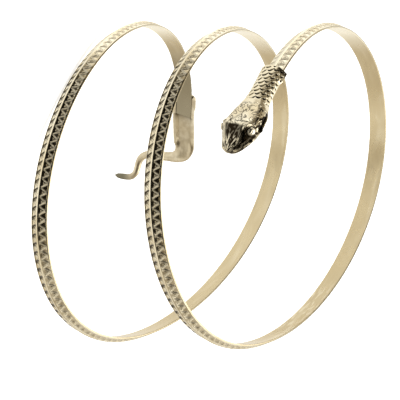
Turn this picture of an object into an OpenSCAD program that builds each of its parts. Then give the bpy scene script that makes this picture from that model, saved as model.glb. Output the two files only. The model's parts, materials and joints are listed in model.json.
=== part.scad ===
// Upper arm cuff: a coiled snake of pale gold metal.
// A stamped strip runs round the arm two and a third times. A cast head with a scaled neck sits on
// its upper end and a cast tail on its lower end. The coil is worked out about its own axis, and is
// then laid down the way it comes to rest by itself.

/* [Coil] */
// Mean radius of the coil, to the middle of the strip's thickness
coil_r = 42.2; // [36:0.1:50]
// Rise of the coil over its middle turn
coil_rise = 34; // [26:0.5:44]
// Loss of rise towards both ends, per cube of the turns from the middle
rise_ease = 2.2; // [0:0.1:3]
// Shift of rise from the head's half to the tail's half, per square of the turns
rise_skew = 1.4; // [-2:0.1:3]
// Turns of the strip from the coil's middle to its tail end
tail_turns = 1.166; // [0.9:0.001:1.3]
// Turns of the strip from the coil's middle to its head end
head_turns = 1.164; // [0.9:0.001:1.3]
// Lean of each turn against the coil's axis, in degrees
turn_lean = 10; // [0:0.5:14]
// Radius to which the coil's axis is bowed, so that the turns spread on one side
bow_r = 390; // [250:5:1000]
// How far the turns are off round, longest against mean radius, at the tail's end
oval_depth = 2; // [0:0.1:3]
// How much the radius closes in towards both ends, per square of the turns
end_closing = 0.9; // [0:0.1:2]
// How much smaller the head's end is than the tail's end, per turn
head_closing = 0.6; // [0:0.1:1.5]
// How far the strip's two ends stand out from the coil's round
end_out = 1.1; // [0:0.1:2]

/* [Strip] */
// Width of the strip
strip_w = 4.8; // [3.5:0.1:8]
// Thickness of the strip at its edges
strip_edge = 0.5; // [0.4:0.05:1.5]
// Height of the ridge along the strip's middle, above its edges
ridge_h = 1; // [0.2:0.05:1.6]
// Length of one tooth of the zigzag
tooth = 2.3; // [1.6:0.1:4]
// Depth of the stamped triangles between the zigzag lines
stamp_depth = 0.3; // [0.1:0.05:0.4]
// Plain margin beside the strip's edge
edge_margin = 0.3; // [0.2:0.05:0.6]
// Plain margin beside the ridge
ridge_margin = 0.5; // [0.2:0.05:0.8]

/* [Castings] */
// Length of the strip that lies in the head's neck
head_grip = 3.6; // [2.5:0.1:7]
// Length of the strip that lies in the tail
tail_grip = 6.4; // [4:0.5:9]
// Clearance between the strip and a casting, on every side
clearance = 0.12; // [0.05:0.01:0.2]
// Thickness of the neck's wall beside the strip
side_wall = 0.6; // [0.5:0.1:1.5]
// How far a casting's mouth stands out beside its wall
mouth_lip = 0.5; // [0.2:0.1:1.2]

/* [Head] */
// Length of the head casting along its middle, from mouth to snout
head_len = 25.4; // [20:0.5:34]
// Share of that length that is neck
neck_share = 0.46; // [0.35:0.01:0.6]
// Greatest width of the head
head_w = 9.6; // [7.5:0.1:14]
// Thickness of the neck over the strip's ridge, at the mouth
neck_roof = 1.4; // [0.6:0.05:2.5]
// Height of the head's crown above the strip's back
crown_h = 4.2; // [3.4:0.1:8]
// Depth of the jaw below the strip's back
jaw_depth = 1.2; // [0.5:0.1:3]
// Length of two rows of the neck's scales
scale_len = 2.6; // [1.8:0.1:4]
// Depth of the pits between the scales
scale_pit = 0.35; // [0.1:0.05:0.5]
// Radius to which the head is bent inwards past the strip's end
head_bend_r = 400; // [60:10:600]
// Turn of the head towards the tail's side past the strip's end, in degrees
head_yaw = 12; // [0:0.5:20]
// Radius of an eye
eye_r = 1; // [0.7:0.1:1.6]

/* [Tail] */
// Length of the tail casting along its middle
tail_len = 46.8; // [36:0.1:56]
// Thickness of the tail's wall beside the strip
tail_wall = 0.75; // [0.6:0.05:1.8]
// Thickness of the tail over the strip's ridge
tail_roof = 0.8; // [0.6:0.05:1.6]

/* [Hidden] */

// Directions about the coil's axis, in degrees: where each turn leans up, where the coil is bowed
// to, the long axis of the off-round turns at the coil's middle with its drift in a turn, and the
// first of three flat bulges that every turn has
lean_dir = 174;
bow_dir = 22;
oval_dir = 97;
oval_drift = -53;
bulge_dir = 103;
// Height of those bulges, as a share of the coil's radius
bulge_share = 0.011;
// How much of the off-roundness is there at the coil's middle, and how much goes in each turn
oval_middle = 0.35;
oval_fade = 0.56;
// Turns at each end over which the strip straightens out
end_out_turns = 0.08;

// Directions in the coil's own axes that the part is laid by: roughly which way is down, and
// which side faces the front
down_guess = [-0.25, -0.37, -0.90];
front = [0, -0.86, 0.51];

strip_t = strip_edge + ridge_h;
neck_w = strip_w + 2 * clearance + 2 * side_wall;
neck_h = strip_t + clearance + neck_roof;
neck_len = head_len * neck_share;
tail_w = strip_w + 2 * clearance + 2 * tail_wall;
tail_t = strip_t + clearance + tail_roof;

// Spacing of the cross sections along the neck, the head and the tail
neck_step = scale_len / 8;
head_step = 0.4;
tail_step = 0.7;
// Points over the top of a head section, four to a scale
top_points = 28;
// Length over which a channel's end wall stands, so that it is upright
wall_step = 0.05;
// Share by which a tail's section turns towards the coil's round at every step
settle_share = 0.3;

// Sections of the head. Place runs from 0 at the mouth over 1 at the nape to 2 at the snout. Blend
// runs from the neck's width and height to the head's, of which width and height are shares. Jaw
// is a share of jaw_depth, and edge is how square the section's upper corners are.
// [place, blend, width, height, jaw, edge]
BLEND = 1;
WIDTH = 2;
HEIGHT = 3;
JAW = 4;
EDGE = 5;
HEAD = [
    [0.00, 0.00, 1.00, 1.00, 0.00, 2.4],
    [0.55, 0.00, 0.98, 1.06, 0.00, 2.4],
    [0.85, 0.02, 1.00, 1.12, 0.05, 2.3],
    [1.05, 0.50, 1.00, 0.98, 0.50, 2.2],
    [1.20, 0.90, 1.00, 0.90, 0.90, 2.3],
    [1.42, 1.00, 1.01, 0.94, 1.00, 2.7],
    [1.57, 1.00, 0.98, 0.98, 1.00, 3.3],
    [1.67, 1.00, 0.90, 0.80, 0.95, 2.9],
    [1.79, 1.00, 0.75, 0.54, 0.80, 2.5],
    [1.90, 1.00, 0.58, 0.38, 0.60, 2.3],
    [1.97, 1.00, 0.40, 0.29, 0.40, 2.2],
    [2.00, 1.00, 0.22, 0.20, 0.20, 2.0],
];

// Raised and sunk lines and spots of the head, on both sides. Place is as above, side is a share
// of head_w / 2, height a share of crown_h. Reach is the half width of the line and lift its height,
// both as shares of eye_r, and a spot has the same place twice.
// [place, side, height, place, side, height, reach, lift]
RELIEF = [
    [1.30, 0.80, 0.92, 1.54, 0.76, 0.93, 0.50, 0.26],
    [1.54, 0.76, 0.93, 1.64, 0.60, 0.90, 0.45, 0.24],
    [1.64, 0.60, 0.90, 1.80, 0.44, 0.50, 0.40, 0.20],
    [1.08, 0.98, 0.06, 1.45, 1.00, 0.00, 0.35, 0.24],
    [1.45, 1.00, 0.00, 1.70, 0.84, 0.04, 0.35, 0.26],
    [1.70, 0.84, 0.04, 1.97, 0.36, 0.15, 0.35, 0.26],
    [1.12, 0.98, 0.18, 1.45, 0.99, 0.14, 0.28, -0.30],
    [1.45, 0.99, 0.14, 1.70, 0.80, 0.17, 0.28, -0.32],
    [1.70, 0.80, 0.17, 1.93, 0.36, 0.25, 0.28, -0.28],
    [1.87, 0.30, 0.40, 1.87, 0.30, 0.40, 0.30, -0.30],
    [1.12, 0.30, 0.90, 1.34, 0.02, 1.00, 0.28, -0.20],
    [1.34, 0.02, 1.00, 1.52, 0.34, 1.00, 0.28, -0.20],
];
// Place of an eye: place, share of head_w / 2, share of crown_h
EYE = [1.585, 0.84, 0.48];

// Bends of the tail in its own surface. [share of the length past the strip's end, degrees]
TAIL_BENDS = [
    [0.06, -7],
    [0.18, 0],
    [0.165, 80],
    [0.20, 4],
    [0.13, -75],
    [0.055, 0],
    [0.10, 72],
    [0.11, 8],
];
// Sections of the tail. [share of tail_len, share of tail_w, share of tail_t]
TAIL = [
    [0.00, 1.00, 1.00],
    [0.34, 1.00, 1.00],
    [0.41, 0.84, 0.96],
    [0.45, 0.62, 0.93],
    [0.50, 0.45, 0.90],
    [0.58, 0.40, 0.88],
    [0.68, 0.35, 0.84],
    [0.78, 0.31, 0.76],
    [0.86, 0.29, 0.70],
    [0.95, 0.27, 0.64],
    [0.985, 0.20, 0.48],
    [1.00, 0.07, 0.16],
];

// Sums, directions and smooth tables
function unit(v) = v / norm(v);
function total(list) = [for (x = list) 1] * list;
function sums(list) =
    [for (i = 0, s = 0; i <= len(list); s = s + (i < len(list) ? list[i] : 0), i = i + 1) s];
function row_at(table, x, i = 0) =
    i + 2 < len(table) && table[i + 1][0] <= x ? row_at(table, x, i + 1) : i;
function slope_at(table, col, i) =
    let (a = max(i - 1, 0), b = min(i + 1, len(table) - 1))
    (table[b][col] - table[a][col]) / (table[b][0] - table[a][0]);
function smooth_at(table, col, x) =
    let (i = row_at(table, x), h = table[i + 1][0] - table[i][0],
         t = min(max((x - table[i][0]) / h, 0), 1))
    table[i][col] * (1 + 2 * t) * (1 - t) * (1 - t)
    + slope_at(table, col, i) * h * t * (1 - t) * (1 - t)
    + table[i + 1][col] * t * t * (3 - 2 * t) - slope_at(table, col, i + 1) * h * t * t * (1 - t);

// The coil: u is in turns from its middle, towards the head
function angle_at(u) = 180 + 360 * u;
function end_share(u) = max(u - head_turns, -tail_turns - u, -end_out_turns) / end_out_turns + 1;
function radius_at(u) =
    coil_r - head_closing * u - end_closing * u * u
    + oval_depth * (oval_middle - oval_fade * u) * cos(2 * (angle_at(u) - oval_dir - oval_drift * u))
    + coil_r * bulge_share * cos(3 * (angle_at(u) - bulge_dir))
    + end_out * pow(end_share(u), 2);
function rise_at(u) = coil_rise * u - rise_skew * u * u - rise_ease * u * u * u;
function coil_point(u) =
    let (r = radius_at(u), a = angle_at(u), s = rise_at(u), off = s * s / (2 * bow_r))
    [r * cos(a) - off * cos(bow_dir), r * sin(a) - off * sin(bow_dir),
     s * (1 + r * cos(a - bow_dir) / bow_r) + tan(turn_lean) * r * cos(a - lean_dir)];

// A frame is a point and three directions: along towards the head, across up the coil, and out
function coil_frame(u) =
    let (d = 0.001, along = unit(coil_point(u + d) - coil_point(u - d)),
         across = unit([0, 0, 1] - along.z * along))
    [coil_point(u), along, across, cross(along, across)];
function turned_back(f) = [f[0], -f[1], -f[2], f[3]];
// Point of a section, v across and h out from the strip's back
function on_frame(f, v, h) = f[0] + v * f[2] + (h - strip_t / 2) * f[3];
function speed_at(u) = norm(coil_point(u + 0.0005) - coil_point(u - 0.0005)) / 0.001;
function run_between(u0, u1, steps = 200) =
    let (d = (u1 - u0) / steps) total([for (i = [0 : steps - 1]) d * speed_at(u0 + (i + 0.5) * d)]);

// Faces of solids made of rings
function quad(a, b, c, d) = [[a, b, c], [a, c, d]];
function ring_faces(rows, m) = concat(
    [for (i = [0 : rows - 2], j = [0 : m - 1])
        each quad(i * m + j, i * m + (j + 1) % m, (i + 1) * m + (j + 1) % m, (i + 1) * m + j)],
    [[for (j = [m - 1 : -1 : 0]) j]],
    [[for (j = [0 : m - 1]) (rows - 1) * m + j]]);
function flat_list(rows) = [for (row = rows) each row];

// The strip, with a station at each end of every tooth
strip_run = run_between(-tail_turns, head_turns);
teeth = round(strip_run / tooth);
function station(k) = coil_frame(-tail_turns + (tail_turns + head_turns) * k / teeth);
function slope_h(v) = strip_edge + ridge_h * (1 - abs(v) / (strip_w / 2));
outer_v = strip_w / 2 - edge_margin;
inner_v = ridge_margin;
outer_pit_v = (2 * outer_v + inner_v) / 3;
inner_pit_v = (outer_v + 2 * inner_v) / 3;
function station_row(k) =
    let (f = station(k), plain = k == 0 || k == teeth, pit_v = plain ? inner_v : inner_pit_v,
         pit_h = slope_h(pit_v) - (plain ? 0 : stamp_depth))
    [on_frame(f, -strip_w / 2, 0), on_frame(f, -strip_w / 2, strip_edge),
     on_frame(f, -outer_v, slope_h(outer_v)), on_frame(f, -pit_v, pit_h), on_frame(f, 0, strip_t),
     on_frame(f, pit_v, pit_h), on_frame(f, outer_v, slope_h(outer_v)),
     on_frame(f, strip_w / 2, strip_edge), on_frame(f, strip_w / 2, 0)];
function tooth_row(k) =
    let (f = station(k + 0.5), pit_h = slope_h(outer_pit_v) - stamp_depth)
    [on_frame(f, -outer_pit_v, pit_h), on_frame(f, -inner_v, slope_h(inner_v)),
     on_frame(f, inner_v, slope_h(inner_v)), on_frame(f, outer_pit_v, pit_h)];
STATION_POINTS = 9;
TOOTH_POINTS = 4;
function at_station(k, j) = STATION_POINTS * k + j;
function at_tooth(k, j) = STATION_POINTS * (teeth + 1) + TOOTH_POINTS * k + j;
function turned(faces, yes) = yes ? [for (f = faces) [f[2], f[1], f[0]]] : faces;
// One slope: the columns of its edge, outer, inner and ridge points, and of its pits and peaks
function slope_faces(edge, outer, inner, ridge, pit, peak, other) = turned(concat(
    [for (k = [0 : teeth - 1]) each concat(
        quad(at_station(k, edge), at_station(k, outer),
            at_station(k + 1, outer), at_station(k + 1, edge)),
        [[at_station(k, outer), at_tooth(k, peak), at_tooth(k, pit)],
         [at_tooth(k, peak), at_station(k + 1, outer), at_tooth(k, pit)],
         [at_station(k + 1, outer), at_station(k, outer), at_tooth(k, pit)],
         [at_tooth(k, peak), at_station(k, ridge), at_station(k + 1, ridge)]])],
    [for (k = [1 : teeth - 1]) each
        [[at_station(k, outer), at_tooth(k - 1, peak), at_station(k, inner)],
         [at_tooth(k - 1, peak), at_tooth(k, peak), at_station(k, inner)],
         [at_tooth(k, peak), at_station(k, outer), at_station(k, inner)],
         [at_tooth(k - 1, peak), at_station(k, ridge), at_tooth(k, peak)]]],
    [[at_station(0, outer), at_station(0, inner), at_tooth(0, peak)],
     [at_station(0, inner), at_station(0, ridge), at_tooth(0, peak)],
     [at_tooth(teeth - 1, peak), at_station(teeth, inner), at_station(teeth, outer)],
     [at_tooth(teeth - 1, peak), at_station(teeth, ridge), at_station(teeth, inner)]]), other);
BAND_POINTS = concat(flat_list([for (k = [0 : teeth]) station_row(k)]),
    flat_list([for (k = [0 : teeth - 1]) tooth_row(k)]));
BAND_FACES = concat(
    slope_faces(1, 2, 3, 4, 0, 1, false),
    slope_faces(7, 6, 5, 4, 3, 2, true),
    [for (k = [0 : teeth - 1]) each concat(
        quad(at_station(k, 1), at_station(k + 1, 1), at_station(k + 1, 0), at_station(k, 0)),
        quad(at_station(k, 0), at_station(k + 1, 0), at_station(k + 1, 8), at_station(k, 8)),
        quad(at_station(k, 8), at_station(k + 1, 8), at_station(k + 1, 7), at_station(k, 7)))],
    [[for (j = [8 : -1 : 0]) at_station(0, j)], [for (j = [0 : 8]) at_station(teeth, j)]]);

// The castings. A casting starts at its mouth and follows the strip to the strip's end, so that
// its channel fits the strip, and then goes on in steps of its own.
function grip_frame(end, toward, grip, s) =
    let (u = end + toward * (s - grip) / speed_at(end), f = coil_frame(u))
    toward > 0 ? f : turned_back(f);
// A step on from a frame, bent inwards to a radius and turned across by an angle
function bent_step(f, run, bend_r, turn) =
    let (along = unit(f[1] - f[3] * run / bend_r + f[2] * tan(turn)),
         across = unit(f[2] - (f[2] * along) * along))
    [f[0] + run * unit(f[1] + along), along, across, cross(along, across)];
// A step on that keeps to the coil's round, whatever the heading
function round_step(f, run, turn) =
    let (next = unit(f[1] + f[2] * tan(turn)), p = f[0] + run * unit(f[1] + next),
         out = unit((1 - settle_share) * f[3] + settle_share * unit([p.x, p.y, 0])),
         along = unit(next - (next * out) * out))
    [p, along, cross(out, along), out];

// Half of a rounded section from one side over the top to the other, and its outward direction
function top_ring(half_w, rise, edge, n) = [for (j = [0 : n])
    let (a = 180 - 180 * j / n)
    [half_w * sign(cos(a)) * pow(abs(cos(a)), 2 / edge), rise * pow(sin(a), 2 / edge), cos(a), sin(a)]];
channel_half = strip_w / 2 + clearance;
channel_h = strip_t + clearance;
CHANNEL = [
    [channel_half, 0], [channel_half, channel_h], [-channel_half, channel_h], [-channel_half, 0]];
// How far a mouth stands out at a point of its section
lip_share = 0.11;
lip_fade_share = 0.03;
lip_rise = 1.6;
function mouth_lip_at(share, h) =
    mouth_lip * max(1 - h / lip_rise, 0)
    * min(max((lip_share + lip_fade_share - share) / lip_fade_share, 0), 1);

// Head
channel_rows = ceil((head_grip + clearance) / neck_step);
neck_rows = round(neck_len / neck_step);
head_rows = round((head_len - neck_len) / head_step);
head_hold = channel_rows * neck_step;
HEAD_RUNS = concat(
    [for (i = [0 : channel_rows]) i * neck_step],
    [head_hold + wall_step],
    [for (i = [channel_rows + 1 : neck_rows - 1]) i * neck_step],
    [for (i = [0 : head_rows]) neck_len + (head_len - neck_len) * i / head_rows]);
// Row of the scale pattern that each section lies on
HEAD_SCALES = concat(
    [for (i = [0 : channel_rows]) i], [channel_rows],
    [for (i = [channel_rows + 1 : neck_rows - 1]) i], [for (i = [0 : head_rows]) -1]);
function next_head_frame(f, i) =
    let (run = HEAD_RUNS[i], step = run - HEAD_RUNS[i - 1])
    run <= head_hold ? grip_frame(head_turns, 1, head_grip, run)
        : bent_step(f, step, head_bend_r, -head_yaw * step / (head_len - head_hold));
HEAD_FRAMES = [for (i = 0, f = grip_frame(head_turns, 1, head_grip, 0);
    i < len(HEAD_RUNS);
    i = i + 1, f = i < len(HEAD_RUNS) ? next_head_frame(f, i) : f) f];
function place_of(run) = run < neck_len ? run / neck_len : 1 + (run - neck_len) / (head_len - neck_len);
function run_of(place) = place < 1 ? place * neck_len : neck_len + (place - 1) * (head_len - neck_len);
function head_spot(place, side, height) = [run_of(place), side * head_w / 2, height * crown_h];
function off_line(p, a, b) =
    let (d = b - a, t = d * d > 0 ? min(max((p - a) * d / (d * d), 0), 1) : 0) norm(p - a - t * d);
function relief_at(p) = total([for (r = RELIEF)
    let (d = off_line(p, head_spot(r[0], r[1], r[2]), head_spot(r[3], r[4], r[5])) / (r[6] * eye_r))
    r[7] * eye_r * exp(-d * d)]);
eye_lift_share = 0.4;
eye_groove_share = 0.22;
eye_groove_at = 1.25;
eye_groove_w = 0.22;
function eye_at(p) =
    let (d = norm(p - head_spot(EYE[0], EYE[1], EYE[2])) / eye_r,
         g = (d - eye_groove_at) / eye_groove_w)
    (d < 1 ? eye_lift_share * eye_r * sqrt(1 - d * d) : 0) - eye_groove_share * eye_r * exp(-g * g);
// Pits lie four steps apart along the neck and four points apart over it, every other row shifted
function scale_at(row, j) =
    row < 0 || j < 1 || j > top_points - 1 ? 0
    : (row % 8 == 2 && j % 4 == 2) || (row % 8 == 6 && j % 4 == 0) ? -scale_pit : 0;
function head_ring(i) =
    let (run = HEAD_RUNS[i], place = place_of(run), f = HEAD_FRAMES[i],
         blend = smooth_at(HEAD, BLEND, place),
         half_w = (neck_w + (head_w - neck_w) * blend) * smooth_at(HEAD, WIDTH, place) / 2,
         rise = (neck_h + (crown_h - neck_h) * blend) * smooth_at(HEAD, HEIGHT, place),
         jaw = jaw_depth * smooth_at(HEAD, JAW, place),
         top = top_ring(half_w, rise, smooth_at(HEAD, EDGE, place), top_points))
    concat(
        [for (j = [0 : top_points])
            let (t = top[j], p = [run, abs(t[0]), t[1]], past = place > 1 ? 1 : 0,
                 lift = scale_at(HEAD_SCALES[i], j) + past * (relief_at(p) + eye_at(p)),
                 lip = sign(t[0]) * mouth_lip_at(run / head_len, t[1]))
            on_frame(f, t[0] + lip + lift * t[2], t[1] + lift * t[3])],
        i <= channel_rows ? [for (c = CHANNEL) on_frame(f, c[0], c[1])]
            : [for (c = JAW_SHAPE) on_frame(f, c[0] * half_w, -c[1] * jaw)]);
// Underside of a head section: share of its half width, share of the jaw's depth
JAW_SHAPE = [[0.8, 0.75], [0.35, 1], [-0.35, 1], [-0.8, 0.75]];
HEAD_RING = top_points + 1 + len(JAW_SHAPE);
HEAD_POINTS = flat_list([for (i = [0 : len(HEAD_RUNS) - 1]) head_ring(i)]);
HEAD_FACES = ring_faces(len(HEAD_RUNS), HEAD_RING);

// Tail
tail_points = 10;
tail_hold = tail_grip + clearance;
tail_rows = round((tail_len - tail_hold) / tail_step);
grip_rows = 4;
TAIL_RUNS = concat(
    [for (i = [0 : grip_rows]) tail_hold * i / grip_rows],
    [tail_hold + wall_step],
    [for (i = [1 : tail_rows]) tail_hold + (tail_len - tail_hold) * i / tail_rows]);
BEND_ENDS = sums([for (b = TAIL_BENDS) b[0]]);
BEND_TURNS = sums([for (b = TAIL_BENDS) b[1]]);
TAIL_HEADING = [for (i = [0 : len(TAIL_BENDS)]) [BEND_ENDS[i], BEND_TURNS[i]]];
function tail_heading(run) = lookup((run - tail_hold) / (tail_len - tail_hold), TAIL_HEADING);
function next_tail_frame(f, i) =
    let (run = TAIL_RUNS[i], last = TAIL_RUNS[i - 1])
    run <= tail_hold ? grip_frame(-tail_turns, -1, tail_grip, run)
        : round_step(f, run - last, tail_heading(run) - tail_heading(last));
TAIL_FRAMES = [for (i = 0, f = grip_frame(-tail_turns, -1, tail_grip, 0);
    i < len(TAIL_RUNS);
    i = i + 1, f = i < len(TAIL_RUNS) ? next_tail_frame(f, i) : f) f];
// The tail's back is hollow up to its first bend, and past it the section is round
hollow_h = 0.8;
hollow_share = 0.72;
hollow_end = 0.3;
round_start = 0.45;
tail_corner = 2.4;
under_angles = [-36, -72, -108, -144];
function tail_ring(i) =
    let (run = TAIL_RUNS[i], share = run / tail_len, f = TAIL_FRAMES[i],
         half_w = tail_w / 2 * smooth_at(TAIL, 1, share), thick = tail_t * smooth_at(TAIL, 2, share),
         rounding = min(max((share - hollow_end) / (round_start - hollow_end), 0), 1),
         base = rounding * tail_t / 2, floor_h = base - rounding * thick / 2,
         rise = rounding * thick / 2 + (1 - rounding) * thick,
         under = i <= grip_rows ? CHANNEL : [
            [hollow_share * half_w, 0], [hollow_share * half_w * 0.8, hollow_h],
            [-hollow_share * half_w * 0.8, hollow_h], [-hollow_share * half_w, 0]])
    concat(
        [for (t = top_ring(half_w, rise, tail_corner, tail_points))
            on_frame(f, t[0] + sign(t[0]) * mouth_lip_at(share * 1.6, t[1]), base + t[1])],
        [for (j = [0 : 3])
            let (a = under_angles[j], round_v = half_w * cos(a),
                 round_h = base + (base - floor_h) * sin(a))
            on_frame(f, under[j][0] + rounding * (round_v - under[j][0]),
                under[j][1] + rounding * (round_h - under[j][1]))]);
TAIL_RING = tail_points + 1 + len(under_angles);
TAIL_POINTS = flat_list([for (i = [0 : len(TAIL_RUNS) - 1]) tail_ring(i)]);
TAIL_FACES = ring_faces(len(TAIL_RUNS), TAIL_RING);

// Laying the cuff down. It settles where its centre of mass is lowest over the points that it
// stands on, and its box's lowest face is then set on the floor, centred on the origin.
function face_moment(p, f) = total([for (i = [1 : len(f) - 2])
    let (a = p[f[0]], b = p[f[i]], c = p[f[i + 1]], v = a * cross(b, c))
    concat([v], v * (a + b + c) / 4)]);
function solid_moment(points, faces) = total([for (f = faces) face_moment(points, f)]);
CUFF_MOMENT = solid_moment(BAND_POINTS, BAND_FACES) + solid_moment(HEAD_POINTS, HEAD_FACES)
    + solid_moment(TAIL_POINTS, TAIL_FACES);
CUFF_CENTRE = [CUFF_MOMENT[1], CUFF_MOMENT[2], CUFF_MOMENT[3]] / CUFF_MOMENT[0];
CUFF_POINTS = concat(BAND_POINTS, HEAD_POINTS, TAIL_POINTS);
settle_steps = 150;
first_step = 0.1;
step_decay = 0.93;
function lowest_point(down) =
    let (d = [for (p = CUFF_POINTS) p * down]) CUFF_POINTS[search(max(d), d)[0]];
function settled(down, i = 0, step = first_step) =
    i >= settle_steps ? down
    : let (arm = lowest_point(down) - CUFF_CENTRE, pull = arm - (arm * down) * down)
      settled(unit(down - step * unit(pull)), i + 1, step * step_decay);
UP = -settled(unit(down_guess));
BACK = -unit(front - (front * UP) * UP);
LAID = [cross(BACK, UP), BACK, UP];
TURNED_POINTS = [for (p = CUFF_POINTS) LAID * p];
function side_of(k) = [for (p = TURNED_POINTS) p[k]];
function middle_of(k) = (min(side_of(k)) + max(side_of(k))) / 2;
ORIGIN = [middle_of(0), middle_of(1), min(side_of(2))];
function laid(points) = [for (p = points) LAID * p - ORIGIN];

module band() {
    color("#d8c59a") polyhedron(laid(BAND_POINTS), BAND_FACES);
}

module head() {
    color("#cdb98a") polyhedron(laid(HEAD_POINTS), HEAD_FACES);
}

module tail() {
    color("#c4ae84") polyhedron(laid(TAIL_POINTS), TAIL_FACES);
}

band();
head();
tail();
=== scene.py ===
"""Looks of the upper arm cuff: a coiled snake of pale gold metal, lying on a pale floor.

The stamped strip and the two castings are built again here with the finish that the solids leave
out. They follow the same curves as the solids, from the same sizes, and stand for them.
"""

import json
import math

import bpy
import numpy as np
from mathutils import Matrix, Vector

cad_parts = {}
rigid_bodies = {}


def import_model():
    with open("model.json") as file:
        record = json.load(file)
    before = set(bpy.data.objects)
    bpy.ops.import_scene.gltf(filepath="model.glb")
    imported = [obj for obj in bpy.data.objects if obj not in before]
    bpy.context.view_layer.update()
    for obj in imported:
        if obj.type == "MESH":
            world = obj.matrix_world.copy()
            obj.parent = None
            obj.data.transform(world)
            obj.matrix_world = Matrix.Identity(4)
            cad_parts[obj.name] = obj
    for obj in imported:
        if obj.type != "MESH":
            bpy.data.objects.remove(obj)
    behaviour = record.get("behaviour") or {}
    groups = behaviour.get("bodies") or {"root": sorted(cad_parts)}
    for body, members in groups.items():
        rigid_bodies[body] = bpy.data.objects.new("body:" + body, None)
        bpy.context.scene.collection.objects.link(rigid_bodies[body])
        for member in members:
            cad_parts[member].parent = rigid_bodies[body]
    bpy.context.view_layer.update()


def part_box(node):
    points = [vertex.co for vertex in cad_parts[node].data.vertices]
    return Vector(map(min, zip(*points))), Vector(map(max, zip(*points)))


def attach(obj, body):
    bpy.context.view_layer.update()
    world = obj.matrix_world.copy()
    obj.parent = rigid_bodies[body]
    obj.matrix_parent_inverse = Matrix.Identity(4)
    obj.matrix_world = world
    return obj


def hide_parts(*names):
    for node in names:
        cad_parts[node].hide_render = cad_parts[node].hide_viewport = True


MM = 0.001

# The coil, in millimetres, turns and degrees, as the part's source has it: its radius, the rise of
# its middle turn with what is lost towards the ends, its turns from the middle, and their lean
COIL_R = 42.2
COIL_RISE = 34
RISE_EASE = 2.2
RISE_SKEW = 1.4
TAIL_TURNS = 1.166
HEAD_TURNS = 1.164
TURN_LEAN = 10
LEAN_DIR = 174
# The bow of its axis, how far the turns are off round, and the three flat bulges of every turn
BOW_R = 390
BOW_DIR = 22
OVAL = 2
OVAL_MIDDLE = 0.35
OVAL_FADE = 0.56
OVAL_DIR = 97
OVAL_DRIFT = -53
BULGE_SHARE = 0.011
BULGE_DIR = 103
# How the radius closes in towards both ends and towards the head, and how the ends stand out
END_CLOSING = 0.9
HEAD_CLOSING = 0.6
END_OUT = 1.1
END_OUT_TURNS = 0.08
# The step that gives the coil's direction and its length per turn
TURN_STEP = 0.001

# How the coil lies: which way is up in its own axes, and which side faces the front
UP = (0.311793, 0.334652, 0.889266)
FRONT = (0, -0.86, 0.51)

# The strip, in millimetres
STRIP_W = 4.8
STRIP_EDGE = 0.5
RIDGE_H = 1
TOOTH = 2.3
EDGE_MARGIN = 0.3
RIDGE_MARGIN = 0.36
BEVEL = 0.1
STRIP_T = STRIP_EDGE + RIDGE_H
HALF_W = STRIP_W / 2
OUTER_V = HALF_W - EDGE_MARGIN
ZIGZAG_W = OUTER_V - RIDGE_MARGIN
# The ridge's rounded top: its half width, and how much lower it is than the sharp one
RIDGE_ROUND = 0.2
RIDGE_DROP = 0.04
# The stamped pattern: how round the zigzag's turns are, depth of its triangles, and how far their
# walls run in beside a line, the edge and the ridge
ZIGZAG_ROUND = 0.5
PIT_DEPTH = 0.18
LINE_WALL_RUN = 0.2
EDGE_WALL_RUN = 0.16
RIDGE_WALL_RUN = 0.25

# The strip's dark oxide in its hollows, and the painted shade on its slopes. Beside a line,
# distances are in runs of the line's wall.
OXIDE_REACH = 2.3
INNER_OXIDE_AND_SHADE = 0.6
RIM_OXIDE = 0.6
# Painted shade beside the ridge, on the head's slope: how dark, and where it ends and is full
RIDGE_SHADE = 0.3
RIDGE_SHADE_V = (0.9, 0.5)
# Painted shade on every second arm of the zigzag, which is dark as well
ARM_REACH = 1.9
ARM_SHADE = 0.2
# Dots at the zigzag's outer turns: radius, how far in from the margin, and how hard their rim is
DOT_SIZE = 0.6
DOT_IN = 0.3
DOT_RIM = 4
# Where the oxide fades, which at the loops' tops is painted light, while towards the bottoms the
# oxide is only less. A loop's top is at 1 and its bottom at -1, the pair for the bottoms counts
# from the bottom, and the head's end is in turns. Each pair says where it starts and where it is
# full.
TOP_FADE = (0.62, 0.82)
HEAD_END_FADE = (1, 1.05)
LOW_FADE = (0.1, 0.55)
# Where the inner fields of the head's slope take their painted shade, which grows towards the
# loops' tops
INNER_DARK = (-0.3, 0.2)
# Where the painted highlight on the strip's inside starts and is full, at the loops' tops
PALE_TOP = (0.9, 0.99)
# How much oxide fades there, how dark the painted shade over the head's slope is towards the
# loops' bottoms, and how much of the relief is flattened
TOP_OXIDE_FADE = 0.9
HEAD_END_FADE_SHARE = 0.8
LOW_OXIDE_FADE = 0.75
LOW_SHADE = 0.14
RELIEF_WEAR = 0.35
# The painted highlight on the raised lines: how far it reaches, and how bright it is on the tail's
# side of the ridge and on the dark arms
CREST_REACH = 1.5
TAIL_CREST = 0.4
ARM_CREST = 0.6

# The first and the last rows of the strip, which are plain
PLAIN_ROWS = [0, 1, -2, -1]
# How finely the strip is drawn: rows to a tooth, columns beside a line, and steps on its back
ROWS_PER_TOOTH = 8
LINE_STEPS = (-OXIDE_REACH, -1, -0.5, 0, 0.5, 1, OXIDE_REACH)
BACK_STEPS = (1.6, 0.6, -0.6, -1.6)
RUN_SAMPLES = 201

# The castings, in millimetres: how much of the strip they hold, the clearance round it, and the
# neck's wall and lip at its mouth
HEAD_GRIP = 3.6
TAIL_GRIP = 6.4
CLEARANCE = 0.12
SIDE_WALL = 0.6
MOUTH_LIP = 0.5
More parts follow.
